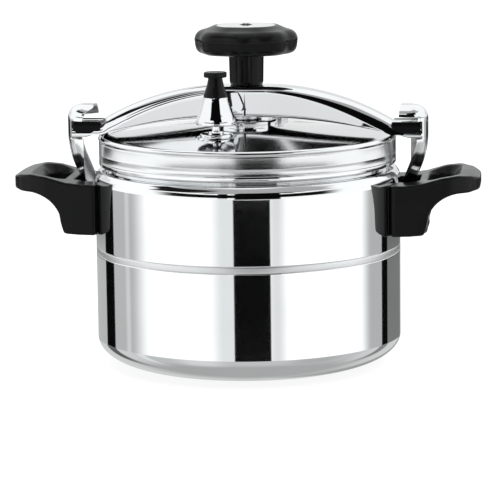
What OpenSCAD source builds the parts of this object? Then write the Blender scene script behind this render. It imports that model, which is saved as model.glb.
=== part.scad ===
// Pressure cooker with a clamping beam: a deep round pot with two side handles
// and two hooks, a gasketed lid, a beam screwed down by a big top knob, a
// lift-off pressure weight and a sprung safety valve. Millimetres. The origin is
// the middle of the base on the table, +Z is up and the handles lie along X.

/* [Pot] */
// Outside radius of the straight wall
pot_r = 122.5; // [110:0.5:135]
// Wall thickness
wall_t = 3; // [2:0.1:4]
// Thickness of the flat base
base_t = 4.5; // [3:0.5:8]
// Radius of the corner between base and wall
base_corner_r = 22; // [10:1:30]
// Height where the shoulder starts to curve in
wall_top_z = 148; // [130:1:170]
// Radius of the shoulder
shoulder_r = 9; // [6:0.5:12]
// Outside radius of the neck under the flange
neck_r = 109; // [104:0.5:110]
// Outside radius of the flange that carries the gasket
flange_r = 113.5; // [112:0.5:114]
// Height of the flange's top face
flange_top_z = 163; // [161:0.5:165]
// Height of the pressed ring round the wall
ring_z = 93; // [60:1:120]

/* [Lid] */
// Outside radius of the rim band
band_r = 119.4; // [119.4:0.1:122]
// Height of the band's lower edge
band_bottom_z = 161; // [158:0.5:163]
// Height of the rolled top of the rim
band_top_z = 181.5; // [178:0.5:185]
// Sheet thickness
lid_t = 2.6; // [2:0.1:3.5]
// Radius of the flat middle
crown_r = 29; // [26:1:35]
// Height of the flat middle
crown_z = 190.5; // [188:0.5:194]
// Radius and top height of the pressure pad in the middle
pad_r = 24.5; // [20:0.5:25]
pad_top_z = 195.5; // [193:0.5:197]

/* [Vent and weight] */
// Position of the vent pipe on the lid
vent_x = -18.7; // [-30:0.1:0]
vent_y = -52; // [-60:0.1:-40]
// Outside radius of the vent pipe
vent_r = 3.25; // [2.5:0.05:4]
// Top of the vent pipe
vent_top_z = 207; // [203:0.5:210]
// Radius of the weight at its lower edge
weight_r = 15.8; // [13:0.1:18]
// Lower edge and top of the metal weight
weight_bottom_z = 197; // [194:0.5:200]
weight_top_z = 218.8; // [214:0.2:224]
// Top of the weight's finger knob
weight_knob_top_z = 238.5; // [232:0.5:242]

/* [Safety valve] */
// Position of the safety valve on the lid
valve_x = 18.8; // [10:0.1:30]
valve_y = 51.7; // [40:0.1:60]
// Outside radius of the valve's body
valve_r = 8; // [7:0.5:10]

/* [Beam] */
// Width of the beam
beam_w = 32; // [28:1:36]
// Height of the beam's top in the middle
beam_top_z = 223.2; // [218:0.1:226]
// Half length of the level middle
beam_flat = 25; // [15:1:35]
// Radius of the bend on each side of the middle
beam_bend_r = 160; // [140:1:180]
// Sheet thickness
beam_t = 2.5; // [2:0.1:3.5]
// Radius reached by the ends under the hooks
beam_end_r = 140.6; // [136:0.1:141]

/* [Hooks] */
// Width of each hook
hook_w = 32; // [28:1:36]
// Sheet thickness
hook_t = 2; // [1.5:0.1:3]
// Furthest reach of the hook's back from the axis
hook_back_r = 145.2; // [142:0.1:150]
// Top of the hook
hook_top_z = 207.5; // [204:0.5:212]

/* [Handles] */
// Full width of each handle
handle_w = 84; // [70:1:110]
// Reach of the handle from the axis
handle_reach = 187; // [175:1:200]
// Underside of the mounting block
block_bottom_z = 107; // [100:1:115]
// Outer radius of the mounting block
block_r = 147; // [140:1:152]

/* [Knob] */
// Radius of the knob
knob_r = 41.3; // [36:0.1:45]
// Underside and top of the knob
knob_bottom_z = 248.2; // [240:0.1:249]
knob_top_z = 271; // [265:1:280]
// Number of shallow finger hollows round the knob
knob_lobes = 8; // [5:1:12]
// Radius of the hub under the knob
hub_r = 14; // [12:0.5:16]
// Radius of the screw
screw_r = 6; // [5:0.5:8]

/* [Hidden] */
$fn = 96;
gap = 0.05;             // between faces that meet
run = 0.05;             // radial running clearance
pot_in_r = pot_r - wall_t;
neck_in_r = neck_r - wall_t;
lid_in_r = band_r - lid_t;
hook_in = 0.3;
lift = 6;               // travel of the pressure foot
foot_z = pad_top_z + gap;
pad_rivet_x = 18;
bend_x = beam_flat;
bend_z = beam_top_z - beam_bend_r;
tube_x = hook_back_r - hook_w / 2;   // middle of the hook's rounded back
arch_x = tube_x - 55.3; // middle of the hook's long bend
arch_z = 185;
hook_tip_r = 122.5;
notch_z0 = 180.5;
notch_z1 = 194.9;
notch_r = beam_end_r + 0.8;
strap_r = pot_r + gap;
strap_out_r = strap_r + hook_t;
screw_z = 114;
rivet_z = 121;
rivet_y = 11;

// ---- shared shapes ----

module ring(r1, r0, z0, z1) {
  difference() {
    translate([0, 0, z0]) cylinder(r = r1, h = z1 - z0);
    translate([0, 0, z0 - 1]) cylinder(r = r0, h = z1 - z0 + 2);
  }
}

module hex(af, z0, z1) {
  translate([0, 0, z0]) cylinder(r = af / sqrt(3), h = z1 - z0, $fn = 6);
}

// a profile in X and Z, w thick along Y about the middle
module slab(w) {
  rotate([90, 0, 0]) translate([0, 0, -w / 2]) linear_extrude(height = w) children();
}

// a solid turned about a radial line at height z, seen from the +X side
module radial(y, z, x0, x1, r) {
  translate([x0, y, z]) rotate([0, 90, 0]) cylinder(r = r, h = x1 - x0);
}

module both_sides() {
  children();
  rotate([0, 0, 180]) children();
}

// ---- pot ----

module pot_outline(d) {
  r = pot_r - d;
  sr = shoulder_r - d;
  cr = base_corner_r - d;
  floor_z = d > 0 ? base_t : 0;
  translate([0, floor_z]) square([r - cr, cr + 5]);
  translate([0, floor_z + cr]) square([r, wall_top_z - floor_z - cr]);
  intersection() {
    translate([r - cr, floor_z + cr]) circle(r = cr);
    square([r, 2 * cr + floor_z]);
  }
  intersection() {
    translate([pot_r - shoulder_r, wall_top_z]) circle(r = sr);
    translate([0, wall_top_z - 2]) square([r, shoulder_r + 4]);
  }
  translate([0, wall_top_z]) square([pot_r - shoulder_r, sr]);
  translate([0, wall_top_z]) square([neck_r - d, flange_top_z - wall_top_z + (d > 0 ? 1 : 0)]);
}

module flange_outline() {
  translate([neck_in_r, flange_top_z - 3]) square([flange_r - 1.25 - neck_in_r, 3]);
  translate([neck_in_r, flange_top_z - 3]) square([flange_r - neck_in_r, 1.75]);
  translate([flange_r - 1.25, flange_top_z - 1.25]) circle(r = 1.25);
  polygon([[neck_r - 1, flange_top_z - 6.5], [neck_r, flange_top_z - 6.5],
    [flange_r - 0.8, flange_top_z - 4], [flange_r, flange_top_z - 2.9],
    [neck_r - 1, flange_top_z - 2.9]]);
}

module pot_body() {
  color([0.86, 0.87, 0.88]) difference() {
    rotate_extrude() difference() {
      union() {
        pot_outline(0);
        flange_outline();
      }
      pot_outline(wall_t);
      for (s = [-1, 1]) translate([pot_r + 0.9, ring_z + s * 2.6]) circle(r = 1.4);
    }
    both_sides() for (s = [-1, 1])
      radial(s * rivet_y, rivet_z, pot_r - 15, pot_r + 5, 3.02);
  }
}

// ---- hooks ----

module hook_plan(d) {
  translate([tube_x, 0]) circle(r = hook_w / 2 - d);
  translate([tube_x - 40, -hook_w / 2 + d]) square([40, hook_w - 2 * d]);
}

module hook_bend(d) {
  rc = tube_x - arch_x;
  translate([arch_x, 0, arch_z]) rotate([90, 0, 0]) mirror([0, 1, 0])
    rotate_extrude(angle = 52) {
      intersection() {
        translate([rc, 0]) circle(r = hook_w / 2 - d);
        translate([rc, -50]) square([60, 100]);
      }
      translate([rc - 25, -hook_w / 2 + d]) square([25, hook_w - 2 * d]);
    }
}

module hook_cap_profile(d) {
  top = hook_top_z - d;
  flat_r = hook_w / 2 - 11;
  translate([0, arch_z]) square([hook_w / 2 - d, hook_top_z - 11 - arch_z]);
  translate([0, arch_z]) square([flat_r, top - arch_z]);
  intersection() {
    translate([flat_r, hook_top_z - 11]) circle(r = 11 - d);
    translate([0, arch_z]) square([hook_w, 40]);
  }
}

module hook_cap(d) {
  translate([tube_x, 0, 0]) rotate([0, 0, -90]) rotate_extrude(angle = 180) hook_cap_profile(d);
  translate([tube_x, 0, 0]) rotate([90, 0, -90]) linear_extrude(height = 30) {
    hook_cap_profile(d);
    mirror([1, 0]) hook_cap_profile(d);
  }
}

// what is cut from one edge of the hook: a straight edge with a round mouth,
// or a slanted edge with a square mouth
module straight_edge() {
  polygon([[60, 100], [123.6, 100], [123.6, 134], [126, 140], [130.5, 148], [130.5, 193.5],
    [117, 206], [60, 206]]);
  translate([118.5, 193]) circle(r = 13);
}

module slanted_edge() {
  polygon([[60, 100], [122.8, 100], [122.8, 136], [125, 147], [129, 157], [133.5, 168],
    [136.5, 178], [137.5, 188], [137.5, 197.9], [60, 197.9]]);
}

// the foot of the hook, bent round the pot, with rounded lower corners
module hook_strap() {
  half = hook_w / 2;
  corner = 6;
  intersection() {
    ring(strap_out_r, strap_r, 100, 150);
    rotate([90, 0, 90]) translate([0, 0, 90]) linear_extrude(height = 60) {
      translate([-half, 106 + corner]) square([hook_w, 139 - 106 - corner]);
      translate([corner - half, 106]) square([hook_w - 2 * corner, 10]);
      for (s = [-1, 1]) translate([s * (half - corner), 106 + corner]) circle(r = corner);
    }
  }
}

module hook() {
  hook_strap();
  difference() {
    union() {
      hook_bend(0);
      hook_cap(0);
    }
    hook_bend(hook_t);
    hook_cap(hook_t);
    // the bend ends inside the strap's thickness
    translate([0, 0, 90]) cylinder(r = strap_r + hook_t / 2, h = 60);
    translate([60, -50, 90]) cube([hook_tip_r - 60, 100, 130]);
    translate([0, 25, 0]) slab(50) straight_edge();
    translate([0, -25, 0]) slab(50) slanted_edge();
    // side notches for the ends of the beam
    translate([0, 0, notch_z0]) cylinder(r = notch_r, h = notch_z1 - notch_z0);
  }
}

module hook_drilled() {
  difference() {
    hook();
    for (s = [-1, 1]) radial(s * rivet_y, rivet_z, 115, 128, 3.02);
    radial(0, screw_z, 115, 128, 3.2);
  }
}

module hook_right() {
  color([0.8, 0.81, 0.82]) hook_drilled();
}

module hook_left() {
  color([0.8, 0.81, 0.82]) rotate([0, 0, 180]) hook_drilled();
}

module hook_rivets() {
  color([0.75, 0.76, 0.78]) both_sides() for (s = [-1, 1]) {
    x_in = pot_in_r - 1.25;
    x_out = strap_out_r + 0.05;
    radial(s * rivet_y, rivet_z, x_in - 1, x_out + 0.5, 3);
    intersection() {
      radial(s * rivet_y, rivet_z, x_in - 1.8, x_in, 5.5);
      translate([x_in + 6.6, s * rivet_y, rivet_z]) sphere(r = 8.6);
    }
    radial(s * rivet_y, rivet_z, x_out, x_out + 1.4, 4.5);
  }
}

// ---- handles ----

module handle_side() {
  difference() {
    polygon([[100, block_bottom_z - 1], [132, block_bottom_z], [block_r, block_bottom_z + 1],
      [block_r, 122], [195, 122], [195, 146], [187, 151.5], [180, 154], [170, 155.2],
      [158, 153.6], [142, 149], [128, 147.2], [100, 147]]);
    // hollow under the grip
    translate([block_r + 26, 113]) circle(r = 28);
    polygon([[block_r, 100], [210, 100], [210, 145.6], [178, 141], [172, 140.9], [block_r, 113]]);
  }
}

module handle_plan() {
  reach = handle_reach;
  half = handle_w / 2;
  round_r = 30;
  translate([100, -half + 4]) square([reach - round_r - 100, handle_w - 8]);
  for (s = [-1, 1]) translate([reach - round_r, s * (half - round_r)]) circle(r = round_r);
  translate([reach - round_r, -half + round_r]) square([round_r, handle_w - 2 * round_r]);
  translate([118, -half]) square([reach - round_r - 118, handle_w]);
}

// a funnel with a long mouth: two cones joined by a wedge
module funnel(x, half, r0, r1, z0, z1) {
  for (s = [-1, 1]) translate([x, s * half, z0]) cylinder(r1 = r0, r2 = r1, h = z1 - z0);
  translate([x, 0, 0]) slab(2 * half)
    polygon([[-r0, z0], [r0, z0], [r1, z1], [-r1, z1]]);
}

module handle() {
  difference() {
    intersection() {
      slab(handle_w) handle_side();
      translate([0, 0, 90]) linear_extrude(height = 80) handle_plan();
      union() {
        translate([0, 0, 90]) cylinder(r = block_r, h = 34);
        translate([0, 0, 120]) cylinder(r = 300, h = 60);
      }
    }
    // seat on the pot
    translate([0, 0, 90]) cylinder(r = strap_r, h = 80);
    // bevelled sides next to the pot
    for (s = [-1, 1]) translate([108, s * handle_w / 2, 90]) rotate([0, 0, 45])
      cube([11, 11, 160], center = true);
    // pocket for the strap, the nut and the foot of the hook
    intersection() {
      translate([0, 0, 90]) cylinder(r = strap_out_r + 2.7, h = 80);
      translate([100, -hook_w / 2 - 1.5, 100]) cube([60, hook_w + 3, 80]);
    }
    translate([100, -hook_w / 2 - 1.5, 130]) cube([39, hook_w + 3, 60]);
    radial(0, screw_z, 110, 129.5, 6.6);
    radial(0, screw_z, 120, 150, 3.3);
    radial(0, screw_z, 138, 152, 6.8);
    // finger opening with a dished top
    funnel(156, 20, 8.5, 9.5, 130, 150);
    funnel(156, 20, 9, 21, 147, 161);
  }
}

module handle_right() {
  color([0.08, 0.08, 0.085]) handle();
}

module handle_left() {
  color([0.08, 0.08, 0.085]) rotate([0, 0, 180]) handle();
}

module handle_nuts() {
  color([0.7, 0.71, 0.72]) both_sides() difference() {
    translate([strap_out_r + gap, 0, screw_z]) rotate([0, 90, 0]) cylinder(r = 5.8, h = 4.4, $fn = 6);
    radial(0, screw_z, 110, 140, 3.02);
  }
}

module handle_washers() {
  color([0.75, 0.76, 0.77]) both_sides() difference() {
    radial(0, screw_z, 138 + gap, 139, 6.4);
    radial(0, screw_z, 130, 145, 3.2);
  }
}

module handle_screws() {
  color([0.75, 0.76, 0.77]) both_sides() difference() {
    union() {
      radial(0, screw_z, 125.2, 140, 3);
      radial(0, screw_z, 139 + gap, 141.2, 5.2);
      translate([141.2, 0, screw_z]) rotate([0, 90, 0]) cylinder(r1 = 5.2, r2 = 3.4, h = 1.4);
    }
    translate([141.2, -0.6, screw_z - 6]) cube([4, 1.2, 12]);
  }
}

// ---- lid ----

module lid_outline(d) {
  roll = 3.5;
  polygon([[0, crown_z - d], [crown_r, crown_z - d], [106, 180.6 - d], [band_r - roll - d, 180.6 - d],
    [band_r - roll - d, 150], [0, 150]]);
  translate([0, 100]) square([band_r - d, band_top_z - roll - 100]);
  intersection() {
    translate([band_r - roll, band_top_z - roll]) circle(r = roll - d * 0.3);
    square([band_r - d, band_top_z]);
  }
}

// the thick lower edge of the band, clear of the pot's flange
module band_edge() {
  translate([band_r - 2.6, band_bottom_z + 2.6]) circle(r = 2.6);
  translate([flange_r + 0.7, band_bottom_z + 2.6])
    square([band_r - flange_r - 0.7, 1.6]);
  translate([flange_r + 0.7, band_bottom_z]) square([band_r - 2.6 - flange_r - 0.7, 3]);
}

module lid_pads(r, z0, z1) {
  for (p = [[vent_x, vent_y], [valve_x, valve_y]])
    translate([p[0], p[1], z0]) cylinder(r = r, h = z1 - z0);
}

module lid_shell() {
  color([0.86, 0.87, 0.88]) difference() {
    union() {
      rotate_extrude() {
        difference() {
          lid_outline(0);
          lid_outline(lid_t);
          translate([-1, 50]) square([300, band_bottom_z + 2.6 - 50]);
          // two fine lines round the band
          translate([band_r + 0.5, 171]) circle(r = 0.8);
          translate([band_r + 0.5, 167]) circle(r = 0.8);
        }
        band_edge();
        // inner lip that holds the gasket
        translate([101.5, 172]) square([2.4, 7.8]);
      }
      lid_pads(14.5, 183.2, 187.6);
      translate([0, 0, crown_z - lid_t]) cylinder(r = crown_r, h = lid_t);
    }
    // flat seats for the vent pipe and the valve
    lid_pads(14.5, 187.6, 195);
    translate([vent_x, vent_y, 170]) cylinder(r = 5.02, h = 30);
    translate([valve_x, valve_y, 170]) cylinder(r = 5.02, h = 30);
    for (a = [45:90:315]) rotate([0, 0, a]) translate([pad_rivet_x, 0, 170]) cylinder(r = 1.77, h = 30);
  }
}

module gasket() {
  seat_z = flange_top_z + gap;
  color([0.18, 0.18, 0.19]) rotate_extrude() difference() {
    union() {
      translate([104, seat_z]) square([flange_r + 0.6 - 104, 14.4]);
      translate([104, band_bottom_z + 5.35])
        square([lid_in_r - 0.15 - 104, seat_z + 14.4 - band_bottom_z - 5.35]);
    }
    translate([103, flange_top_z + 3.2]) square([7, 7]);
    translate([110, flange_top_z + 6.7]) circle(r = 3.5);
  }
}

module pressure_pad() {
  color([0.82, 0.83, 0.84]) difference() {
    rotate_extrude() {
      translate([0, crown_z + 0.02]) square([pad_r - 1.5, pad_top_z - crown_z - 0.02]);
      translate([0, crown_z + 0.02]) square([pad_r, pad_top_z - crown_z - 1.5]);
      translate([pad_r - 1.5, pad_top_z - 1.5]) circle(r = 1.5);
    }
    for (a = [45:90:315]) rotate([0, 0, a]) translate([pad_rivet_x, 0, 180]) {
      cylinder(r = 1.77, h = 30);
      translate([0, 0, pad_top_z - 180 - 1.4]) cylinder(r = 3.1, h = 5);
    }
  }
}

module pad_rivets() {
  color([0.72, 0.73, 0.75]) for (a = [45:90:315]) rotate([0, 0, a]) translate([pad_rivet_x, 0, 0]) {
    translate([0, 0, crown_z - lid_t - 1]) cylinder(r = 1.75, h = pad_top_z - crown_z + lid_t);
    translate([0, 0, pad_top_z - 1.35]) cylinder(r = 3, h = 1.2);
    translate([0, 0, crown_z - lid_t - 1.4]) cylinder(r = 3, h = 1.35);
  }
}

// ---- vent pipe and pressure weight ----

module vent_pipe() {
  color([0.8, 0.8, 0.8]) translate([vent_x, vent_y, 0]) difference() {
    rotate_extrude() {
      translate([0, 176]) square([5, 12]);
      translate([0, 187.65]) square([12.6, 1.6]);
      translate([0, 187.65]) square([11.6, 2.4]);
      translate([11.6, 189.05]) circle(r = 1);
      translate([0, 189]) square([6.2, 3.2]);
      translate([0, 189]) square([vent_r, vent_top_z - 1 - 189]);
      polygon([[0, vent_top_z - 2], [vent_r, vent_top_z - 1], [vent_r - 1, vent_top_z - gap],
        [0, vent_top_z - gap]]);
    }
    translate([0, 0, 170]) cylinder(r = 1.5, h = 50);
  }
}

module nut_under(x, y) {
  translate([x, y, 0]) difference() {
    hex(16, 178.2, 183.15);
    translate([0, 0, 170]) cylinder(r = 5.02, h = 20);
  }
}

module vent_nut() {
  color([0.72, 0.72, 0.72]) nut_under(vent_x, vent_y);
}

module weight_body() {
  color([0.85, 0.86, 0.87]) translate([vent_x, vent_y, 0]) difference() {
    rotate_extrude() {
      polygon([[0, weight_bottom_z], [weight_r - 1.2, weight_bottom_z],
        [weight_r, weight_bottom_z + 1.2], [weight_r - 0.2, weight_bottom_z + 4],
        [12.6, 208.5], [10.6, 214.5], [9.6, weight_top_z - 0.6], [9, weight_top_z],
        [0, weight_top_z]]);
    }
    translate([0, 0, weight_bottom_z - 1]) cylinder(r = vent_r + run, h = vent_top_z - weight_bottom_z);
    translate([0, 0, vent_top_z - 1]) cylinder(r1 = vent_r + run, r2 = vent_r - 1 + run, h = 1);
    translate([0, 0, vent_top_z - 0.01]) cylinder(r = 1, h = 2);
    translate([0, 0, weight_bottom_z - 1]) cylinder(r1 = 8, r2 = 4.5, h = 4);
    translate([0, 0, 210]) cylinder(r = 2.52, h = 20);
    // steam holes
    for (a = [0:120:240]) rotate([0, 0, a]) translate([0, 0, 202.6]) rotate([0, 90, 0])
      cylinder(r = 1.2, h = 30);
  }
}

module weight_knob() {
  color([0.08, 0.08, 0.085]) translate([vent_x, vent_y, 0]) difference() {
    rotate_extrude() {
      polygon([[0, weight_top_z + 0.02], [9.4, weight_top_z + 0.02], [9.2, 221], [6.9, 227],
        [5.6, 233.4], [5.6, 234.6], [0, 234.6]]);
      translate([0, 234.2]) square([8, weight_knob_top_z - 234.2]);
      translate([8, 235.2]) circle(r = 1);
      translate([8, 235.2]) square([1, weight_knob_top_z - 236.2]);
      translate([8, weight_knob_top_z - 1]) circle(r = 1);
    }
    translate([0, 0, 215]) cylinder(r = 2.52, h = 12);
  }
}

module weight_pin() {
  color([0.75, 0.76, 0.77]) translate([vent_x, vent_y, 0]) {
    translate([0, 0, 210.05]) cylinder(r = 2.5, h = 16.5);
  }
}

// ---- safety valve ----

module valve_body() {
  color([0.76, 0.62, 0.3]) translate([valve_x, valve_y, 0]) difference() {
    union() {
      hex(2 * valve_r, 187.65, 192);
      translate([0, 0, 191]) cylinder(r = valve_r - 1.2, h = 11);
      translate([0, 0, 176]) cylinder(r = 5, h = 13);
    }
    translate([0, 0, 170]) cylinder(r = 1.8, h = 40);
    translate([0, 0, 191]) cylinder(r = 5.6, h = 20);
  }
}

module valve_nut() {
  color([0.72, 0.72, 0.72]) nut_under(valve_x, valve_y);
}

module valve_cap() {
  color([0.76, 0.62, 0.3]) translate([valve_x, valve_y, 0]) difference() {
    union() {
      translate([0, 0, 202.02]) cylinder(r = valve_r - 0.8, h = 1.8);
      translate([0, 0, 200]) cylinder(r = 5.57, h = 2.5);
    }
    translate([0, 0, 190]) cylinder(r = 2.55, h = 20);
  }
}

// one turn of wire for every two half loops, each half loop tilted to climb
module valve_spring() {
  turns = 5;
  z0 = 193.12;
  pitch = 1.3;
  r = 4;
  tilt = atan2(pitch / 4, r);
  rr = sqrt(r * r + pitch * pitch / 16);
  color([0.7, 0.7, 0.72]) translate([valve_x, valve_y, 0]) for (i = [0:2 * turns - 1])
    translate([0, 0, z0 + pitch * (i + 0.5) / 2]) rotate([0, 0, i * 180]) rotate([0, tilt, 0])
      rotate_extrude(angle = 180, $fn = 48) translate([rr, 0]) circle(r = 0.35, $fn = 16);
}

module valve_plunger() {
  color([0.78, 0.78, 0.8]) translate([valve_x, valve_y, 0]) {
    translate([0, 0, 191.05]) cylinder(r = 5.5, h = 1.7);
    translate([0, 0, 191.05]) cylinder(r = 2.5, h = 14);
    translate([0, 0, 205]) cylinder(r1 = 2.5, r2 = 1.6, h = 1.2);
  }
}

// ---- beam ----

module beam_section(d) {
  w = beam_w / 2 - d;
  crown = 160;
  corner = 4;
  corner_y = sqrt(pow(crown - corner, 2) - pow(w - corner, 2)) - crown - d;
  // the top is slightly rounded across
  intersection() {
    translate([0, -crown - d]) circle(r = crown);
    union() {
      translate([-w, -42]) square([2 * w, 42 + corner_y]);
      translate([corner - w, -42]) square([2 * (w - corner), 50]);
      for (s = [-1, 1]) translate([s * (w - corner), corner_y]) circle(r = corner);
    }
  }
}

module beam_body(d) {
  rotate([90, 0, 90]) translate([0, 0, -bend_x]) linear_extrude(height = 2 * bend_x)
    translate([0, beam_top_z]) beam_section(d);
  both_sides() translate([bend_x, 0, bend_z]) rotate([90, 0, 0]) mirror([1, -1, 0])
    rotate_extrude(angle = 52) translate([beam_bend_r, 0]) rotate([0, 0, -90]) beam_section(d);
}

// the shape of the beam's side faces, without the top
module beam_side() {
  difference() {
    translate([-132, 182]) square([264, 60]);
    translate([0, -306]) circle(r = 505);
    for (s = [-1, 1]) {
      polygon([[s * 132.1, 170], [s * 131, 182], [s * 126, 191], [s * 124.5, 200], [s * 160, 204],
        [s * 160, 170]]);
      polygon([[s * 90, 180], [s * 90, 192], [s * 99, 189.5], [s * 113.5, 182], [s * 113.5, 180]]);
    }
  }
}

module beam_end() {
  intersection() {
    difference() {
      translate([112, -14, 182]) cube([40, 28, 12.5]);
      translate([100, -11.2, 185.2]) cube([38, 22.4, 20]);
    }
    translate([0, 0, 150]) cylinder(r = beam_end_r, h = 80);
    union() {
      slab(40) polygon([[100, 190], [114, 182], [136, 182], [141.5, 186], [141.5, 200], [100, 200]]);
    }
  }
}

module beam() {
  color([0.84, 0.85, 0.86]) difference() {
    union() {
      intersection() {
        difference() {
          beam_body(0);
          beam_body(beam_t);
        }
        slab(60) beam_side();
      }
      difference() {
        both_sides() beam_end();
        // keep the ends inside the top of the channel
        both_sides() translate([80, -30, 194.5]) cube([80, 60, 40]);
      }
    }
    translate([0, 0, 150]) cylinder(r = 8.02, h = 100);
  }
}

module beam_bush() {
  color([0.74, 0.6, 0.32]) difference() {
    union() {
      // collar, below the slightly rounded underside of the beam
      translate([0, 0, 207]) cylinder(r = 11.5, h = beam_top_z - beam_t - 0.7 - 207);
      translate([0, 0, 210]) cylinder(r = 8, h = beam_top_z - 0.1 - 210);
    }
    translate([0, 0, 150]) cylinder(r = screw_r + run, h = 100);
  }
}

// ---- pressure foot, screw and knob ----

module foot() {
  color([0.72, 0.72, 0.73]) difference() {
    rotate_extrude() {
      translate([0, foot_z]) square([11, 4.8]);
      translate([0, foot_z + 1]) square([12, 2.8]);
      translate([11, foot_z + 1]) circle(r = 1);
      translate([11, foot_z + 3.8]) circle(r = 1);
    }
    translate([0, 0, foot_z + 1.2]) cylinder(r = screw_r + run, h = 10);
    translate([0, 0, foot_z + 2.4]) cylinder(r = 7.6, h = 1.2);
  }
}

module foot_ring() {
  color([0.6, 0.6, 0.62]) difference() {
    ring(7.55, 5.05, foot_z + 2.45, foot_z + 3.5);
    translate([4, -1, foot_z]) cube([6, 2, 6]);
  }
}

module spindle() {
  color([0.76, 0.77, 0.78]) difference() {
    union() {
      translate([0, 0, foot_z + 1.25]) cylinder(r = screw_r, h = 262 - foot_z - 1.25);
      translate([0, 0, 225.8]) cylinder(r = 8, h = 3);
    }
    ring(10, 5, foot_z + 2.4, foot_z + 3.6);
    translate([0, 0, 250]) cylinder(r = 2.52, h = 30);
  }
}

module knob_hub() {
  color([0.08, 0.08, 0.085]) difference() {
    union() {
      translate([0, 0, beam_top_z + hook_in]) cylinder(r1 = hub_r - 1.2, r2 = hub_r - 0.5, h = 2);
      translate([0, 0, beam_top_z + hook_in + 2]) cylinder(r1 = hub_r - 0.5, r2 = hub_r,
        h = knob_bottom_z - beam_top_z - hook_in - 2 - 0.05);
    }
    translate([0, 0, 200]) cylinder(r = screw_r + 0.02, h = 100);
    translate([0, 0, 210]) cylinder(r = 8.02, h = 18.82);
    for (a = [20:45:335]) rotate([0, 0, a]) translate([hub_r + 2.2, 0, 226]) cylinder(r = 3, h = 30);
  }
}

module knob() {
  lobe = 60;
  color([0.08, 0.08, 0.085]) difference() {
    rotate_extrude() {
      polygon([[0, knob_bottom_z], [32, knob_bottom_z], [37.5, 250.4], [39, 252.4], [39, 262],
        [0, 262]]);
      translate([knob_r - 8, 259.5]) circle(r = 8);
      translate([0, 251.6]) square([knob_r - 8, 15.9]);
      polygon([[0, 267.4], [knob_r - 8, 267.4], [28, 270], [26, 270.8], [0, 270.8]]);
    }
    for (i = [0:knob_lobes - 1]) rotate([0, 0, (i + 0.5) * 360 / knob_lobes])
      translate([knob_r + lobe - 2.2, 0, 240]) cylinder(r = lobe, h = 40);
    translate([0, 0, 240]) cylinder(r = screw_r + 0.02, h = 22.05);
    translate([0, 0, 240]) cylinder(r = 2.6, h = 40);
    translate([0, 0, 269.6]) cylinder(r = 23.6, h = 5);
  }
}

module knob_insert() {
  color([0.8, 0.81, 0.82]) difference() {
    rotate_extrude() {
      translate([0, 269.65]) square([23.5, 0.75]);
      translate([0, 269.65]) square([22.9, 1.35]);
      translate([22.9, 270.4]) circle(r = 0.6);
    }
    translate([0, 0, 260]) cylinder(r = 5.2, h = 20);
  }
}

module knob_washer() {
  color([0.7, 0.7, 0.72]) ring(5.15, 2.7, 269.62, 270.3);
}

module knob_screw() {
  color([0.1, 0.1, 0.1]) difference() {
    union() {
      translate([0, 0, 252]) cylinder(r = 2.5, h = 19);
      translate([0, 0, 270.32]) cylinder(r = 4.8, h = 0.9);
      intersection() {
        translate([0, 0, 270.32]) cylinder(r = 4.8, h = 3);
        translate([0, 0, 262.6]) sphere(r = 9.6);
      }
    }
    translate([-0.6, -6, 271.4]) cube([1.2, 12, 3]);
  }
}

pot_body();
hook_left();
hook_right();
hook_rivets();
handle_left();
handle_right();
handle_nuts();
handle_washers();
handle_screws();
lid_shell();
gasket();
pressure_pad();
pad_rivets();
vent_pipe();
vent_nut();
valve_body();
valve_nut();
valve_cap();
valve_spring();
valve_plunger();
weight_body();
weight_knob();
weight_pin();
beam();
beam_bush();
foot();
foot_ring();
spindle();
knob_hub();
knob();
knob_insert();
knob_washer();
knob_screw();
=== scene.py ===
"""Pressure cooker with a clamping beam: looks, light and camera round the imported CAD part."""
import math

import bpy
import bmesh
import numpy as np
from mathutils import Matrix, Vector


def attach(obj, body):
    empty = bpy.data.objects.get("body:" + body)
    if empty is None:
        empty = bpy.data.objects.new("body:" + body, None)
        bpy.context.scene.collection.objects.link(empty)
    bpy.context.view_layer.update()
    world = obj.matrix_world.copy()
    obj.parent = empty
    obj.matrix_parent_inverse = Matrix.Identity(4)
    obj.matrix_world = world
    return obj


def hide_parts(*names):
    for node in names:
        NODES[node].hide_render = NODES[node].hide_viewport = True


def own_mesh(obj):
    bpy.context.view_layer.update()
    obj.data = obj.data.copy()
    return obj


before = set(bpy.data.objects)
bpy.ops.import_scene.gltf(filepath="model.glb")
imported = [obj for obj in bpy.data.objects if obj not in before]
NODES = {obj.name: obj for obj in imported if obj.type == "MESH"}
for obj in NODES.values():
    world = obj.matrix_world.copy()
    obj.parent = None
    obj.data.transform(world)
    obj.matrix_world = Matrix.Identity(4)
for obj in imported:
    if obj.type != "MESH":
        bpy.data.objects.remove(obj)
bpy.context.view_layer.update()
MM = 0.001
scene = bpy.context.scene
# the camera stands this far to the right of the object's front
CAMERA_YAW = math.radians(6.5)

# sizes in millimetres that several pieces share, in the frame of the CAD
POT_R = 122.5
RING_Z = 93
VENT, VALVE = (-18.7, -52.0), (18.8, 51.7)
BLOCK_R, BLOCK_BOTTOM = 147.0, 107.0

# ---------------------------------------------------------------- materials


def new_material(name):
    mat = bpy.data.materials.new(name)
    mat.use_nodes = True
    nt = mat.node_tree
    return mat, nt, nt.nodes["Principled BSDF"]


def add(nt, kind, **values):
    node = nt.nodes.new(kind)
    for key, value in values.items():
        setattr(node, key, value)
    return node


def link(nt, a, b):
    nt.links.new(a, b)


def noise(nt, vector, scale, detail):
    node = add(nt, "ShaderNodeTexNoise")
    node.inputs["Scale"].default_value = scale
    node.inputs["Detail"].default_value = detail
    link(nt, vector, node.inputs["Vector"])
    return node.outputs["Fac"]


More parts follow.
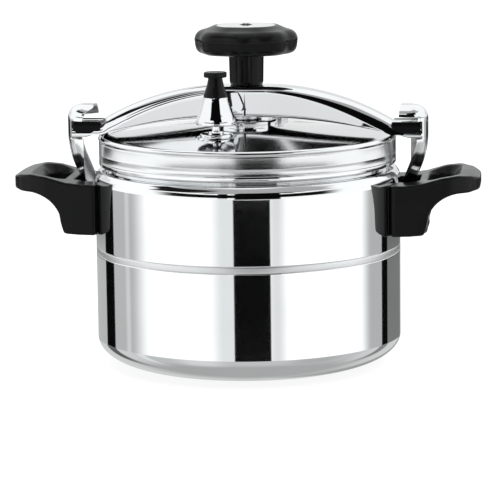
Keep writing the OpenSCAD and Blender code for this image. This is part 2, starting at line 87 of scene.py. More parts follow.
def vary_colour(nt, bsdf, factor, dark, light, start=0.0, end=1.0):
    ramp = add(nt, "ShaderNodeValToRGB")
    for element, position, colour in zip(ramp.color_ramp.elements, (start, end), (dark, light)):
        element.position = position
        element.color = (*colour, 1)
    link(nt, factor, ramp.inputs["Fac"])
    link(nt, ramp.outputs["Color"], bsdf.inputs["Base Color"])


def vary_roughness(nt, bsdf, factor, low, high):
    scale = add(nt, "ShaderNodeMapRange")
    scale.inputs["From Min"].default_value = 0.3
    scale.inputs["From Max"].default_value = 0.7
    scale.inputs["To Min"].default_value = low
    scale.inputs["To Max"].default_value = high
    link(nt, factor, scale.inputs["Value"])
    link(nt, scale.outputs["Result"], bsdf.inputs["Roughness"])


def add_bump(nt, bsdf, height, strength):
    node = add(nt, "ShaderNodeBump")
    node.inputs["Strength"].default_value = strength
    node.inputs["Distance"].default_value = 0.0002
    link(nt, height, node.inputs["Height"])
    link(nt, node.outputs["Normal"], bsdf.inputs["Normal"])


def metal(name, colour, rough, spread, streak=(60, 60, 60), bump=0.0, tint=0.03):
    """Polished metal: its colour wanders a little, and fine polishing streaks vary its gloss."""
    mat, nt, bsdf = new_material(name)
    bsdf.inputs["Metallic"].default_value = 1.0
    place = add(nt, "ShaderNodeTexCoord").outputs["Object"]
    dark = [c * (1 - tint) for c in colour]
    light = [min(1, c * (1 + tint * 0.6)) for c in colour]
    vary_colour(nt, bsdf, noise(nt, place, 22, 3), dark, light, 0.3, 0.7)
    mapping = add(nt, "ShaderNodeMapping")
    mapping.inputs["Scale"].default_value = streak
    link(nt, place, mapping.inputs["Vector"])
    fine = noise(nt, mapping.outputs["Vector"], 40, 4)
    vary_roughness(nt, bsdf, fine, rough, rough + spread)
    if bump:
        add_bump(nt, bsdf, fine, bump)
    return mat


def plastic(name, colour, rough, spread, bump=0.02):
    """Moulded black thermoset or rubber: faint grain and patches of softer gloss."""
    mat, nt, bsdf = new_material(name)
    bsdf.inputs["IOR"].default_value = 1.5
    bsdf.inputs["Specular IOR Level"].default_value = 0.14
    place = add(nt, "ShaderNodeTexCoord").outputs["Object"]
    broad = noise(nt, place, 30, 4)
    vary_colour(nt, bsdf, broad, [c * 0.75 for c in colour], [c * 1.3 for c in colour])
    vary_roughness(nt, bsdf, broad, rough, rough + spread)
    add_bump(nt, bsdf, noise(nt, place, 900, 2), bump)
    return mat


POT = metal("pot_aluminium", (0.90, 0.91, 0.915), 0.03, 0.03)
RING = metal("ring_aluminium", (0.88, 0.89, 0.895), 0.34, 0.05)
LID = metal("lid_aluminium", (0.88, 0.89, 0.895), 0.05, 0.05)
LID_BAND = metal("lid_band_aluminium", (0.87, 0.88, 0.885), 0.17, 0.06, streak=(1, 1, 60), bump=0.05)
CHROME = metal("chrome", (0.86, 0.87, 0.88), 0.02, 0.02)
# near-black steel as painted shade: the beam's inside and underside, and the tongues in the hooks' shadow
PAINTED_SHADE = metal("painted_shade_steel", (0.014, 0.014, 0.015), 0.22, 0.1)
HOOK = metal("hook_chrome", (0.87, 0.88, 0.885), 0.07, 0.05)
SATIN = metal("satin_steel", (0.90, 0.90, 0.905), 0.38, 0.12)
STEEL = metal("brushed_steel", (0.70, 0.71, 0.72), 0.18, 0.12)
BLACK = plastic("bakelite", (0.006, 0.006, 0.0065), 0.16, 0.10)
RUBBER = plastic("rubber", (0.03, 0.03, 0.032), 0.5, 0.15, 0.1)

LOOKS = {
    POT: ["pot_body"],
    LID: ["lid_shell", "pressure_pad", "knob_insert"],
    CHROME: ["hook_left", "hook_right", "beam", "weight_body", "vent_pipe"],
    STEEL: ["hook_rivets", "handle_nuts", "handle_washers", "handle_screws", "pad_rivets", "vent_nut",
            "valve_body", "valve_cap", "valve_nut", "valve_plunger", "valve_spring", "weight_pin",
            "beam_bush", "foot", "foot_ring", "spindle", "knob_washer"],
    BLACK: ["handle_left", "handle_right", "knob", "knob_hub", "weight_knob", "knob_screw"],
    RUBBER: ["gasket"],
}
for mat, names in LOOKS.items():
    for name in names:
        for material_slot in NODES[name].material_slots:
            material_slot.material = mat

# ---------------------------------------------------------------- shapes


SHARP = math.radians(32)


def stand_for(ob, body, nodes):
    scene.collection.objects.link(ob)
    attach(ob, body)
    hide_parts(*nodes)


def piece(name, verts, faces, body, nodes, slot, mat, origin=(0, 0, 0), second=None, pick=None):
    """A mesh in millimetres that rides on a body and stands for CAD nodes.

    Faces for which pick(face) is true take the second material.
    """
    mesh = bpy.data.meshes.new(name)
    mesh.from_pydata([tuple((c + o) * MM for c, o in zip(v, origin)) for v in verts], [], faces)
    mesh.validate()
    bm = bmesh.new()
    bm.from_mesh(mesh)
    bmesh.ops.remove_doubles(bm, verts=bm.verts, dist=1e-6)
    bmesh.ops.dissolve_degenerate(bm, edges=bm.edges, dist=1e-6)
    bmesh.ops.recalc_face_normals(bm, faces=bm.faces)
    bm.to_mesh(mesh)
    bm.free()
    mesh.shade_smooth()
    mesh.set_sharp_from_angle(angle=SHARP)
    mesh.materials.append(mat)
    if second:
        mesh.materials.append(second)
        for f in mesh.polygons:
            if pick(f):
                f.material_index = 1
    stand_for(bpy.data.objects.new(name, mesh), body, nodes)


def arc(cx, cz, r, a0, a1, step=4):
    """Points of an arc in the profile plane, angles in degrees from +r towards +z."""
    n = max(2, int(abs(a1 - a0) / step) + 1)
    return [(cx + r * math.cos(math.radians(a)), cz + r * math.sin(math.radians(a)))
            for a in np.linspace(a0, a1, n)]


def line(p, q, step):
    """Points from p up to, but not at, q."""
    n = max(1, int(math.dist(p, q) / step))
    return [(p[0] + (q[0] - p[0]) * i / n, p[1] + (q[1] - p[1]) * i / n) for i in range(n)]


def ease(t):
    """0 to 1 with a soft start and end"""
    t = min(1, max(0, t))
    return t * t * (3 - 2 * t)


def turned(profile, segs, shape=None):
    """Vertices and faces of a profile of (radius, z) points turned round Z.

    It closes on the axis where it starts or ends there, and otherwise joins its end to its start.
    shape(point, radius, z, angle) may move each point.
    """
    verts, faces, rings = [], [], []
    for r, z in profile:
        if r < 1e-6:
            rings.append([len(verts)])
            verts.append((0, 0, z))
            continue
        rings.append(list(range(len(verts), len(verts) + segs)))
        for k in range(segs):
            a = 2 * math.pi * k / segs
            v = (r * math.cos(a), r * math.sin(a), z)
            verts.append(shape(v, r, z, a) if shape else v)
    closed = len(rings[0]) > 1 and len(rings[-1]) > 1
    for a, b in zip(rings, rings[1:] + (rings[:1] if closed else [])):
        if len(a) == 1 and len(b) == 1:
            continue
        for k in range(segs):
            j = (k + 1) % segs
            if len(a) == 1:
                faces.append((a[0], b[k], b[j]))
            elif len(b) == 1:
                faces.append((a[k], b[0], a[j]))
            else:
                faces.append((a[k], b[k], b[j], a[j]))
    return verts, faces


def pot():
    wall, inner = POT_R, POT_R - 3
    p = [(0, 0.5), (40, 0.5), (74, 0.5), (75, 0.0), (81.5, 0)]
    # the lower corner is an ellipse, wider than it is high
    p += [(wall - 41 + 41 * math.cos(a), 22 + 22 * math.sin(a)) for a in np.linspace(-math.pi / 2, 0, 34)[1:]]
    p += line((wall, 22.5), (wall, RING_Z - 4.0), 8)
    # pressed ring: a low dull bead between two fine lines
    step_in = [(-3.4, wall), (-2.9, wall), (-2.65, wall - 0.08), (-2.5, wall - 0.2)]
    p += [(r, RING_Z + z) for z, r in step_in]
    p += [(wall - 0.2 + 0.2 * math.cos(math.radians(a)) ** 0.6, RING_Z + 2.35 * math.sin(math.radians(a)))
          for a in np.linspace(-85, 85, 13)]
    p += [(r, RING_Z - z) for z, r in reversed(step_in)]
    p += line((wall, RING_Z + 4.0), (wall, 147.0), 8)
    # shoulder: two narrow cones with rounded turns
    p += [(wall, 147.6)] + arc(117.5, 147.8, 5, 2, 9, 1.2) + line((122.42, 148.9), (121.93, 152.0), 0.8)
    p += arc(119.95, 151.8, 2, 12, 33, 4) + line((121.5, 153.05), (119.6, 156.0), 0.6)
    p += arc(117.6, 154.9, 2.1, 38, 90, 6)
    # neck, and the flange that holds the gasket
    p += [(111.6, 157), (110.6, 157.25), (110.2, 157.6), (112.5, 159.1), (113.2, 159.8), (113.5, 160.7)]
    p += arc(112.25, 161.75, 1.25, 0, 90, 10)
    p += [(107, 163)] + arc(106.8, 162.2, 0.8, 90, 180, 20)
    p += [(106, 156)] + arc(108, 156, 2, 180, 270, 15)
    # inside
    p += [(112, 154)] + arc(113.5, 148, 6, 90, 0, 6)
    p += line((inner, 147), (inner, 24), 12) + arc(inner - 19, 23.5, 19, 0, -90, 4)
    p += [(80, 4.5), (40, 4.5), (0, 4.5)]
    return turned(p, 288)


def lid():
    top, flat_r, cone_r, cone_z, under = 190.5, 29, 106, 182.5, 187.9
    seat_r, seat_z, wall_at_seat = 14.5, 187.6, 4.4
    # the top: a flat middle, a shallow cone, and a flat gutter inside the rolled rim
    p = line((0, top), (flat_r, top), 6)
    p += line((flat_r, top), (cone_r, cone_z), 1.2)
    p += [(cone_r, cone_z), (109, 182.4), (112, 182.4), (113.6, 182.6)]
    p += arc(117.1, 181.8, 2.3, 146, 0, 8)
    # band: an undercut below the roll, a raised line, and a polished bead at the lower edge
    p += [(119.35, 181.4), (119.15, 180.9), (118.8, 180.4), (118.75, 180.0), (118.95, 179.5), (119.0, 179.0)]
    p += [(119.0, 171.0), (119.1, 170.7), (119.15, 170.45), (119.1, 170.2), (119.0, 169.9)]
    p += [(119.0, 165.3), (119.12, 165.0), (119.0, 164.7), (118.85, 164.5), (119.0, 164.2), (119.05, 163.9)]
    p += [(119.05, 162.4)] + arc(117.95, 161.9, 1.1, 0, -90, 10)
    # inside: the gasket's channel and the underside
    p += [(114.4, 161), (114.2, 161.2), (114.2, 165.2), (116.8, 165.3), (116.8, 176.5), (115.5, 178),
          (106, 178.0), (103.9, 178.2), (103.9, 172), (101.5, 172), (101.5, 178.5)]
    p += line((101.5, 178.5), (flat_r, under), 1.2)
    p += [(flat_r, under), (14, under), (0, under)]

    def seats(v, r, z, a):
        """The lid is pressed flat round the vent and the valve."""
        above = v[2] > top - max(0, r - flat_r) * (top - cone_z) / (cone_r - flat_r) - 1.3
        for centre in (VENT, VALVE):
            d = math.dist(v[:2], centre)
            if d < seat_r + 3 and z > 181:
                w = ease((seat_r + 1.2 - d) / 1.6)
                flat = seat_z if above else seat_z - wall_at_seat
                return (v[0], v[1], v[2] * (1 - w) + flat * w)
        return v

    return turned(p, 360, seats)


def weight():
    """The weight's metal cone, hollow below, on its own axis."""
    p = [(0, 199.2), (5.5, 199.2), (8.5, 197), (13.9, 197)] + arc(14.6, 198.2, 1.2, -90, 0, 15)
    p += [(15.75, 199.2), (15.6, 201), (14.1, 204.75), (12.6, 208.5), (11.6, 211.5), (10.6, 214.5),
          (10.1, 216.4), (9.6, 218.2), (9.35, 218.65), (8.9, 218.8), (0, 218.8)]
    return turned(p, 160)


def knob_body():
    """The knob: straight-sided with rounded edges, eight soft lobes, and a seat for the bright disc."""
    lobe_depth, lobe_from, lobe_over = 2.2, 27, 11
    p = [(0, 248.2), (14, 248.2), (24, 248.2), (33, 248.2), (35.4, 248.4), (37.5, 249.2), (39.0, 250.4),
         (40.0, 251.9), (40.5, 253.6), (40.9, 256), (41.1, 258)]
    p += arc(33.3, 259.6, 8.0, -8, 78, 6)
    p += [(32.0, 268.2), (29.5, 269.2), (27, 270.2), (26, 270.7), (25, 270.8), (24, 270.7), (23.6, 270.3),
          (23.6, 269.6), (12, 269.6), (0, 269.6)]

    def lobes(v, r, z, a):
        hollow = (0.5 - 0.5 * math.cos(8 * a)) ** 1.3 * lobe_depth
        k = (r - hollow * ease((r - lobe_from) / lobe_over)) / r
        return (v[0] * k, v[1] * k, z)

    return turned(p, 256, lobes)


def beam_section(d, half, corner, crown=170.0):
    """(y, depth) points at depth d in the sheet, from the middle of the crowned top to the straight side."""
    w = half - d
    rad = crown - d
    cr = max(1.0, corner - d)
    cy = math.sqrt((rad - cr) ** 2 - (w - cr) ** 2)
    start = math.atan2(w - cr, cy)
    pts = [(rad * math.sin(a), crown - rad * math.cos(a)) for a in np.linspace(0, start, 9)]
    pts += [(w - cr + cr * math.sin(a), crown - cy - cr * math.cos(a))
            for a in np.linspace(start, math.pi / 2, 14)[1:]]
    return pts


def beam_sheet():
    """The beam: a channel with a crowned top and soft corners, bent down on both sides of the middle."""
    sheet, steps = 2.5, 170
    # the path: level middle, long bend, short reverse bend, level end
    top, flat, bend = 223.2, 13.0, 205.0
    turn, back_r, reach = math.radians(30.05), 8.0, 140.2
    x2, z2 = flat + bend * math.sin(turn), top - bend + bend * math.cos(turn)
    run = [flat, bend * turn, back_r * turn, reach - x2 - back_r * math.sin(turn)]
    total = sum(run)

    def path(e):
        """((x, z), slope) at the length e from the middle"""
        if e <= run[0]:
            return (e, top), 0.0
        if e <= run[0] + run[1]:
            phi = (e - flat) / bend
            return (flat + bend * math.sin(phi), top - bend + bend * math.cos(phi)), phi
        if e <= sum(run[:3]):
            phi = turn - (e - run[0] - run[1]) / back_r
            return (x2 + back_r * (math.sin(turn) - math.sin(phi)),
                    z2 - back_r * (math.cos(phi) - math.cos(turn))), phi
        return (reach - (total - e), z2 - back_r * (1 - math.cos(turn))), 0.0

    def low_z(x):
        """height of the side's lower edge: an arc, level near the ends"""
        return max(182.0, -306 + math.sqrt(505 ** 2 - x * x))

    rows = []
    for i in range(-steps, steps + 1):
        e = abs(total * i / steps)
        sign = 1 if i >= 0 else -1
        c, phi = path(e)
        out_n = (math.sin(phi), math.cos(phi))
        # the corners grow rounder and the end narrower towards the hooks
        corner = 5.0 + 5.5 * min(1, max(0, (e - 15) / 95))
        half = 16.0 - 2.0 * min(1, max(0, (e - 100) / 30)) ** 2

        def at(y, d):
            return (sign * (c[0] - out_n[0] * d), y, c[1] - out_n[1] * d)

        outer, inner = beam_section(0, half, corner), beam_section(sheet, half, corner)
        # how far the side runs down to the lower edge
        side_top = outer[-1][1]
        depth, too_deep = side_top + 0.2, 60.0
        for _ in range(40):
            mid = (depth + too_deep) / 2
            q = at(half, mid)
            if q[2] > low_z(q[0]) and abs(q[0]) > 0:
                depth = mid
            else:
                too_deep = mid
        inside = half - sheet
        loop = outer + [(half, d) for d in np.linspace(side_top, depth, 7)[1:-1]]
        loop += [(half, depth - 0.5), (half - 0.15, depth - 0.15), (half - 0.6, depth)]
        loop += [(inside + 0.5, depth), (inside, depth - 0.4)]
        loop += [(inside, max(d, inner[-1][1])) for d in np.linspace(depth - 1.0, inner[-1][1], 6)[:-1]]
        loop += reversed(inner)
        full = loop + [(-y, d) for y, d in reversed(loop[1:-1])]
        rows.append([at(y, d) for y, d in full])
    verts, faces = loop_loft(rows)
    # the sheet's cut ends: quads between the outer and inner lines
    m = len(rows[0])
    half_loop = m // 2
    for first in (0, m * (len(rows) - 1)):
        for side in (1, -1):
            idx = [first + (side * k) % m for k in range(half_loop + 1)]
            for k in range(len(idx) // 2):
                f = dict.fromkeys((idx[k], idx[k + 1], idx[-2 - k], idx[-1 - k]))
                if len(f) > 2:
                    faces.append(tuple(f))
    return verts, faces


def loop_loft(rows, cap_first=False, cap_last=False):
    """Quads between closed loops of equal length."""
    m = len(rows[0])
    verts = [v for row in rows for v in row]
    faces = [(i * m + k, i * m + (k + 1) % m, (i + 1) * m + (k + 1) % m, (i + 1) * m + k)
             for i in range(len(rows) - 1) for k in range(m)]
    if cap_first:
        faces.append(tuple(range(m)))
    if cap_last:
        faces.append(tuple(reversed(range((len(rows) - 1) * m, len(rows) * m))))
    return verts, faces


def merged(*parts):
    """Several parts as one list of vertices and faces."""
    verts, faces = [], []
    for v, f in parts:
        n = len(verts)
        verts += v
        faces += [tuple(i + n for i in g) for g in f]
    return verts, faces


def turned_about(part):
    """The same part on the other side: half a turn about Z."""
    return [(-x, -y, z) for x, y, z in part[0]], part[1]


def hook_sheet():
    """A hook: a half-round trough bent along a long curve, closed by a rounded cap, with its edges cut back."""
    tube_x, arch_x, arch_z, half, sheet = 129.2, 73.9, 185.0, 16.0, 2.0
    cap_r, top, tip, strap_r, notch_r = 11.0, 207.5, 122.5, 123.55, 141.4

    def edge_x(z, side):
        """how near the axis the hook's edge comes at a height; the two edges differ"""
        if side > 0:
            if z > 193:
                return 118.5 + math.sqrt(max(0, 169 - (z - 193) ** 2))
            return float(np.interp(z, [134, 140, 148, 190, 193], [123.6, 126, 130.5, 130.5, 131.5]))
        if z > 197.9:
            return 0
        return float(np.interp(z, [136, 147, 157, 168, 178, 188], [122.8, 125, 129, 133.5, 136.5, 137.5]))

    def room(p, side):
        """how far a point lies inside the hook's outline"""
        g = min(p[0] - max(tip, edge_x(p[2], side)), math.hypot(p[0], p[1]) - strap_r)
        if 180.5 < p[2] < 194.9:
            g = min(g, math.hypot(p[0], p[1]) - notch_r)
        return g

    # cross-sections from the top down: centre x, z, tilt, outer radius, inner radius, inner z
    stations = []
    flat = half - cap_r
    for rho in (0.02, 2.5):
        stations.append((tube_x, top, 0.0, rho, rho, top - sheet))
    for psi in np.radians(np.linspace(90, 0, 16)):
        c, s = math.cos(psi), math.sin(psi)
        stations.append((tube_x, top - cap_r + cap_r * s, 0.0, flat + cap_r * c,
                         flat + (cap_r - sheet) * c, top - cap_r + (cap_r - sheet) * s))
    for z in (194.91, 194.89, 192, 189, 187, 185):
        stations.append((tube_x, z, 0.0, half, half - sheet, z))
    stations.sort(key=lambda t: -t[1])
    r = tube_x - arch_x
    for a in np.radians(np.linspace(0, 50, 110))[1:]:
        stations.append((arch_x + r * math.cos(a), arch_z - r * math.sin(a), -a, half, half - sheet, None))
    rows = []
    n = 22
    for xc, zc, a, rho, rho_in, z_in in stations:
        ca, sa = math.cos(a), math.sin(a)

        def at(q, side, rad, z0):
            """the point at a length q along the section from its outermost line"""
            quarter = rad * math.pi / 2
            if q <= quarter:
                e, y = rad * math.cos(q / rad), rad * math.sin(q / rad)
            else:
                e, y = -(q - quarter), rad
            return (xc + ca * e, side * y, (zc if z0 is None else z0) + sa * e)

        def end(side, rad, z0):
            """the length along the section at which it leaves the outline, or None"""
            if room(at(0.0, side, rad, z0), side) <= 0:
                return None
            q, coarse = 0.0, 0.4
            while q < rad * math.pi / 2 + 30 and room(at(q + coarse, side, rad, z0), side) > 0:
                q += coarse
            lo, up = q, q + coarse
            for _ in range(24):
                mid = (lo + up) / 2
                if room(at(mid, side, rad, z0), side) > 0:
                    lo = mid
                else:
                    up = mid
            return lo

        def across(near, far, rad, z0):
            return ([at(near * k / n, -1, rad, z0) for k in range(n, 0, -1)]
                    + [at(far * k / n, 1, rad, z0) for k in range(n + 1)])

        near, far = end(-1, rho, None), end(1, rho, None)
        if far is None:
            break
        near_in, far_in = end(-1, rho_in, z_in), end(1, rho_in, z_in)
        if far_in is None:
            near_in = far_in = 0.01
        rows.append(across(near, far, rho, None) + across(near_in, far_in, rho_in, z_in)[::-1])
    return loop_loft(rows, cap_last=True)


def strap():
    """The foot of a hook, bent round the pot's wall, with rounded lower corners."""
    inner_r, outer_r, bottom, top = 122.55, 124.55, 106, 139
    right = [0, 3, 6, 9, 11, 12.5, 14, 15, 15.7, 16]
    rows = []
    for y in [-y for y in right[:0:-1]] + right:
        low = bottom + max(0, 6 - math.sqrt(max(0, 36 - max(0, abs(y) - 10) ** 2)))
        zs = np.linspace(low, top, 14)
        r0, r1 = math.sqrt(inner_r ** 2 - y * y), math.sqrt(outer_r ** 2 - y * y)
        rows.append([(r1, y, z) for z in zs] + [(r0, y, z) for z in zs[::-1]])
    return loop_loft(rows, True, True)


def beam_tongue():
    """The flat end of the beam that goes under a hook: a shallow tray with rounded edges."""
    x_start, x_wall, bottom, top, floor, half, wall = 116.4, 138.01, 184.6, 194.5, 186.8, 14, 2.8
    bend_r = 1.6
    rows = []
    for x in [x_start, 116.7, 117.2, 119, 122, 126, 130, 134, 136.5, 137.6, 138.0, 138.02, 139.4, 140.1, 140.5]:
        inset = 0.0
        if x < 117.2:
            inset = (117.2 - x) * 1.5
        if x > 138.5:
            inset = (x - 138.5) ** 2 * 0.45
        z0 = bottom + inset + max(0, x - 136) * 0.7
        z1 = top - inset
        w = half - inset
        in_tray = x <= x_wall
        floor_z = floor if in_tray else z1 - 0.02
        wi = half - wall if in_tray else w - 1.2
        outer = [(w, z1 - 0.8), (w, (z0 + z1) / 2), (w, z0 + bend_r)]
        outer += [(w - bend_r + bend_r * math.cos(t), z0 + bend_r - bend_r * math.sin(t))
                  for t in np.linspace(0, math.pi / 2, 6)[1:]]
        outer += [(w / 2, z0), (0, z0)]
        if in_tray:
            rim = [(w - 0.25, z1 - 0.25), (w - 0.8, z1), (wi + 0.8, z1), (wi + 0.2, z1 - 0.25), (wi, z1 - 0.8)]
        else:
            rim = [(w - 0.25, z1 - 0.25), (w - 0.8, z1), (wi + 0.2, z1), (wi, z1), (wi - 0.2, z1)]
        inner = [(wi - 0.02, floor_z + 1.5), (wi - 0.5, floor_z + 0.4), (wi - 1.6, floor_z), (wi / 2, floor_z),
                 (0, floor_z)]
        half_loop = outer[::-1] + rim + inner
        full = half_loop + [(-y, z) for y, z in half_loop[1:-1]][::-1]
        rows.append([(x, y, z) for y, z in full])
    return loop_loft(rows, True, True)


def block_corners(side):
    """Two wedges that carry the curve under the grip down to the foot of the mounting block."""
    bottom, top = BLOCK_BOTTOM + 1.2, 124.4
    section = [(-9, top), (0, top), (-0.4, 120), (-1.2, 116), (-2.3, 112), (-3.6, bottom), (-9, bottom)]
    parts = []
    for near, far in ((12, 41.9), (-41.9, -12)):
        rows = [[(side * (BLOCK_R + x), y, z) for x, z in section] for y in (near, far)]
        parts.append(loop_loft(rows, True, True))
    return parts


def softened(name, node, body, mat, extra, voxel=0.9, rounds=5):
    """The CAD solid and the extra solids as one, with edges rounded as on a moulded piece."""
    raw = NODES[node].data.copy()
    bm = bmesh.new()
    bm.from_mesh(raw)
    for verts, faces in extra:
        made = [bm.verts.new([c * MM for c in v]) for v in verts]
        new = [bm.faces.new([made[i] for i in f]) for f in faces]
        bmesh.ops.recalc_face_normals(bm, faces=new)
    bm.to_mesh(raw)
    bm.free()
    ob = bpy.data.objects.new(name + "_raw", raw)
    scene.collection.objects.link(ob)
    remesh = ob.modifiers.new("remesh", "REMESH")
    remesh.mode = "VOXEL"
    remesh.voxel_size = voxel * MM
    smooth = ob.modifiers.new("smooth", "SMOOTH")
    smooth.factor = 0.5
    smooth.iterations = rounds
    dg = bpy.context.evaluated_depsgraph_get()
    mesh = bpy.data.meshes.new_from_object(ob.evaluated_get(dg))
    bpy.data.objects.remove(ob)
    mesh.name = name
    mesh.materials.clear()
    mesh.materials.append(mat)
    mesh.shade_smooth()
    stand_for(bpy.data.objects.new(name, mesh), body, [node])


def radius(f):
    """a face's distance from the upright axis, in millimetres"""
    return math.hypot(f.center.x, f.center.y) / MM


def inside_hook(f, side):
    """true on the hook's satin inner faces, which look back at the hook's own middle line"""
    c = f.center / MM
    z = min(c.z, 196.5)
    back = Vector((side * (118 if z > 185 else 118 - (185 - z) * 0.2), 0, z))
    return f.normal.dot(back - c) > 0


piece("pot_shell", *pot(), "pot", ["pot_body"], "pot_body", POT, second=RING,
      pick=lambda f: abs(f.center.z / MM - RING_Z) < 2.5 and radius(f) > POT_R - 1.5)
piece("lid_cover", *lid(), "lid", ["lid_shell"], "lid_shell", LID, second=LID_BAND,
      pick=lambda f: radius(f) > 117.5 and 164.5 < f.center.z / MM < 180.2)
piece("weight_cone", *weight(), "weight", ["weight_body"], "weight_body", CHROME, origin=(*VENT, 0))
piece("top_knob", *knob_body(), "knob", ["knob"], "knob", BLACK)
# the channel's inner and downward faces take the near-black steel: painted shade under the beam
piece("beam_channel", *beam_sheet(), "beam", ["beam"], "beam", CHROME, second=PAINTED_SHADE,
      pick=lambda f: abs(f.center.y) / MM < 13.8 and (f.normal.y * f.center.y < 0 or f.normal.z < -0.2))
# the tongues are near-black all over: painted shade where they pass under the hooks
tongue = beam_tongue()
piece("beam_tongues", *merged(tongue, turned_about(tongue)), "beam", [], "beam", PAINTED_SHADE)
hook = merged(hook_sheet(), strap())
piece("hook_plate_right", *hook, "pot", ["hook_right"], "hook_right", HOOK, second=SATIN,
      pick=lambda f: inside_hook(f, 1))
piece("hook_plate_left", *turned_about(hook), "pot", ["hook_left"], "hook_left", HOOK, second=SATIN,
      pick=lambda f: inside_hook(f, -1))
softened("handle_grip_right", "handle_right", "pot", BLACK, block_corners(1))
softened("handle_grip_left", "handle_left", "pot", BLACK, block_corners(-1))

# the safety valve's spring, as a steel mesh of its own on the lid
mesh = NODES["valve_spring"].data.copy()
mesh.name = "valve_coil"
mesh.materials.clear()
mesh.materials.append(STEEL)
coil = bpy.data.objects.new("valve_coil", mesh)
stand_for(coil, "lid", ["valve_spring"])
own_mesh(coil)

# ---------------------------------------------------------------- stage

# The surroundings that the polished metal reflects, as areas of brightness. Angles are in degrees:
# azimuth from the camera's side, positive to its right, and elevation above the horizon.
OPEN_WALL = 1.2
# azimuth from, to, softness, brightness
WALL_TONES = [
    (-181, -89, 22, 0.50),
    (-106, -101, 3, 0.66),
    (98, 181, 15, 0.48),
    (124, 165, 4, 0.20),
    (-25, -5, 12, 0.84),
    (15, 26, 10, 0.80),
]
# elevation from, to, softness, brightness: everything above the horizon
HIGH_TONE = (-4.6, 91, 5.6, 1.1)
# azimuth from, to, softness, elevation from, to, softness, brightness: grey areas, then black flags
PATCHES = [
    (-181, -128, 10, -9, -1, 1.5, 0.05),
    (128, 181, 10, -9, -1, 1.5, 0.05),
    (-181, -120, 10, -1, 18, 4, 0.80),
    (120, 181, 10, -1, 18, 4, 0.80),
    (-13.6, -10.6, 2, -7.2, -3, 1, 0.85),
    (-95, 85, 30, 44, 71, 5, 0.42),
    (-137.5, -122.3, 1.0, -14, -6, 1.0, 0.003),
    (119.6, 129, 1.0, -14, -6, 1.0, 0.003),
    (-11.2, 16.0, 0.6, -14, -7.3, 0.3, 0.003),
    (-10.0, 24, 1.5, -4, 15, 1, 0.003),
    (-68, 68, 24, 5.8, 11.2, 1, 0.003),
    (-10.95, 36, 0.3, 14, 25, 1, 0.003),
    (-13.5, -11.3, 0.2, 14, 25, 1, 0.003),
    (-36, 36, 3, 23.2, 38, 1, 0.003),
    (-9, 50, 4, 34, 51, 3, 0.003),
    (-100, -30, 8, 41, 55, 3, 0.01),
    (-22.5, -15.3, 0.4, 4, 14.5, 0.4, 0.003),
    (-178.2, -175.9, 0.3, 8.4, 11.4, 0.4, 0.003),
]
# the floor: its far edge, its brightness straight below, and further out
FLOOR_EDGE = -13.0
FLOOR_TONE = 0.42
FLOOR_NEAR = 0.57
# azimuth from, to, softness, brightness: streaks on the outer floor, seen in the pot's wall from above
FLOOR_STREAKS = [
    (96, 181, 20, 0.66),
    (-181, -96, 20, 0.66),
    (-56, -24, 22, 0.72),
    (34, 72, 22, 0.46),
    (-140, -122.5, 2, 0.12),
    (117, 131, 3, 0.25),
    (-96, -86, 5, 0.80),
    (160, 175, 4, 0.35),
]


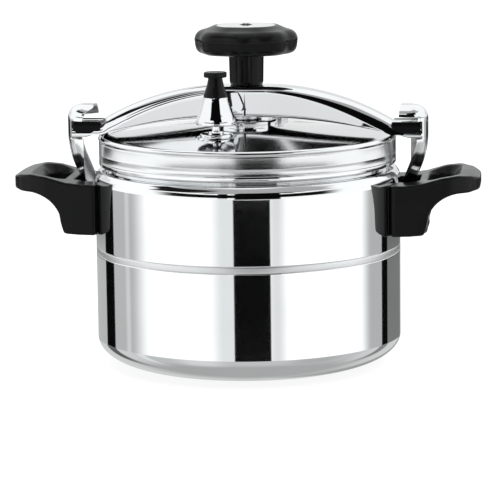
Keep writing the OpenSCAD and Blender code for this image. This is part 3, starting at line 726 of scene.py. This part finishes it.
def build_world():
    world = bpy.data.worlds.new("studio")
    scene.world = world
    world.use_nodes = True
    nt = world.node_tree
    nt.nodes.clear()
    out = add(nt, "ShaderNodeOutputWorld")
    bg = add(nt, "ShaderNodeBackground")
    link(nt, bg.outputs["Background"], out.inputs["Surface"])
    coord = add(nt, "ShaderNodeTexCoord")
    sep = add(nt, "ShaderNodeSeparateXYZ")
    link(nt, coord.outputs["Generated"], sep.inputs["Vector"])

    def feed(socket, v):
        """set a socket to a number, or link a socket to it"""
        if isinstance(v, (int, float)):
            socket.default_value = v
        else:
            link(nt, v, socket)

    def math_node(op, a, b=None):
        node = add(nt, "ShaderNodeMath", operation=op)
        feed(node.inputs[0], a)
        if b is not None:
            feed(node.inputs[1], b)
        return node.outputs[0]

    x, y, z = sep.outputs
    c, s = math.cos(CAMERA_YAW), math.sin(CAMERA_YAW)
    side = math_node("ADD", math_node("MULTIPLY", x, c), math_node("MULTIPLY", y, s))
    front = math_node("SUBTRACT", math_node("MULTIPLY", x, s), math_node("MULTIPLY", y, c))
    azimuth = math_node("MULTIPLY", math_node("ARCTAN2", side, front), 180 / math.pi)
    elevation = math_node("MULTIPLY", math_node("ARCSINE", z), 180 / math.pi)

    def ramp(v, centre, soft, start, end):
        node = add(nt, "ShaderNodeMapRange", interpolation_type="SMOOTHSTEP")
        link(nt, v, node.inputs["Value"])
        node.inputs["From Min"].default_value = centre - soft / 2
        node.inputs["From Max"].default_value = centre + soft / 2
        node.inputs["To Min"].default_value = start
        node.inputs["To Max"].default_value = end
        return node.outputs["Result"]

    def band(v, lo, hi, soft_lo, soft_hi=None):
        """1 between lo and hi, with soft edges"""
        soft_hi = soft_lo if soft_hi is None else soft_hi
        return math_node("MULTIPLY", ramp(v, lo, soft_lo, 0, 1), ramp(v, hi, soft_hi, 1, 0))

    level = OPEN_WALL

    def paint(mask, value):
        nonlocal level
        node = add(nt, "ShaderNodeMix", data_type="FLOAT")
        link(nt, mask, node.inputs["Factor"])
        feed(node.inputs["A"], level)
        node.inputs["B"].default_value = value
        level = node.outputs["Result"]

    for lo, hi, soft, value in WALL_TONES:
        paint(band(azimuth, lo, hi, soft), value)
    lo, hi, soft, value = HIGH_TONE
    paint(band(elevation, lo, hi, soft), value)
    for lo, hi, soft, low, high, soft_z, value in PATCHES:
        paint(math_node("MULTIPLY", band(azimuth, lo, hi, soft), band(elevation, low, high, soft_z)), value)
    paint(band(elevation, -100, FLOOR_EDGE, 1.0), FLOOR_TONE)
    outer_floor = band(elevation, -45, FLOOR_EDGE, 30, 1)
    paint(outer_floor, FLOOR_NEAR)
    for lo, hi, soft, value in FLOOR_STREAKS:
        paint(math_node("MULTIPLY", band(azimuth, lo, hi, soft), outer_floor), value)
    link(nt, level, bg.inputs["Strength"])
    bg.inputs["Color"].default_value = (0.985, 1.0, 1.0, 1)


build_world()

# a pale paper floor that glows a little, so that it stays near white with a faint shadow on it
bm = bmesh.new()
bmesh.ops.create_grid(bm, x_segments=2, y_segments=2, size=6)
mesh = bpy.data.meshes.new("floor")
bm.to_mesh(mesh)
bm.free()
floor = bpy.data.objects.new("floor", mesh)
floor.scale = (6, 6, 1)
scene.collection.objects.link(floor)
floor.location = (0, 0, -0.0002)
mat, nt, bsdf = new_material("floor_paper")
bsdf.inputs["Base Color"].default_value = (0.16, 0.16, 0.16, 1)
bsdf.inputs["Roughness"].default_value = 0.9
bsdf.inputs["Emission Color"].default_value = (1, 1, 1, 1)
bsdf.inputs["Emission Strength"].default_value = 0.86
floor.data.materials.append(mat)
floor.visible_glossy = False

# light for the floor and the plastic, wide and from above; the metal doesn't show it
sun_data = bpy.data.lights.new("overcast", "SUN")
sun_data.energy = 3.4
sun_data.angle = math.radians(100)
sun = bpy.data.objects.new("overcast", sun_data)
scene.collection.objects.link(sun)
sun.rotation_euler = (math.radians(-12), math.radians(8), 0)
sun.visible_glossy = False

# ---------------------------------------------------------------- camera

CAM_POS = Vector((0.249, -2.186, 0.4575))
CAM_AIM = Vector((0.0011, 0.0001, 0.0888))
CAM_ROLL = math.radians(-0.69)
# the focal length is in pixels of a frame 500 wide
FOCAL, FRAME_W, SENSOR_W = 2761.5, 500, 36

cam_data = bpy.data.cameras.new("camera")
cam_data.sensor_width = SENSOR_W
cam_data.lens = FOCAL / FRAME_W * SENSOR_W
cam_data.clip_start = 0.05
cam_data.clip_end = 50
cam = bpy.data.objects.new("camera", cam_data)
scene.collection.objects.link(cam)
scene.camera = cam
cam.location = CAM_POS
cam.rotation_mode = "QUATERNION"
look = (CAM_AIM - CAM_POS).normalized()
cam.rotation_quaternion = look.to_track_quat("-Z", "Y") @ Matrix.Rotation(CAM_ROLL, 4, "Z").to_quaternion()

scene.view_settings.view_transform = "Standard"
scene.view_settings.look = "None"
scene.view_settings.exposure = 0
scene.view_settings.gamma = 1
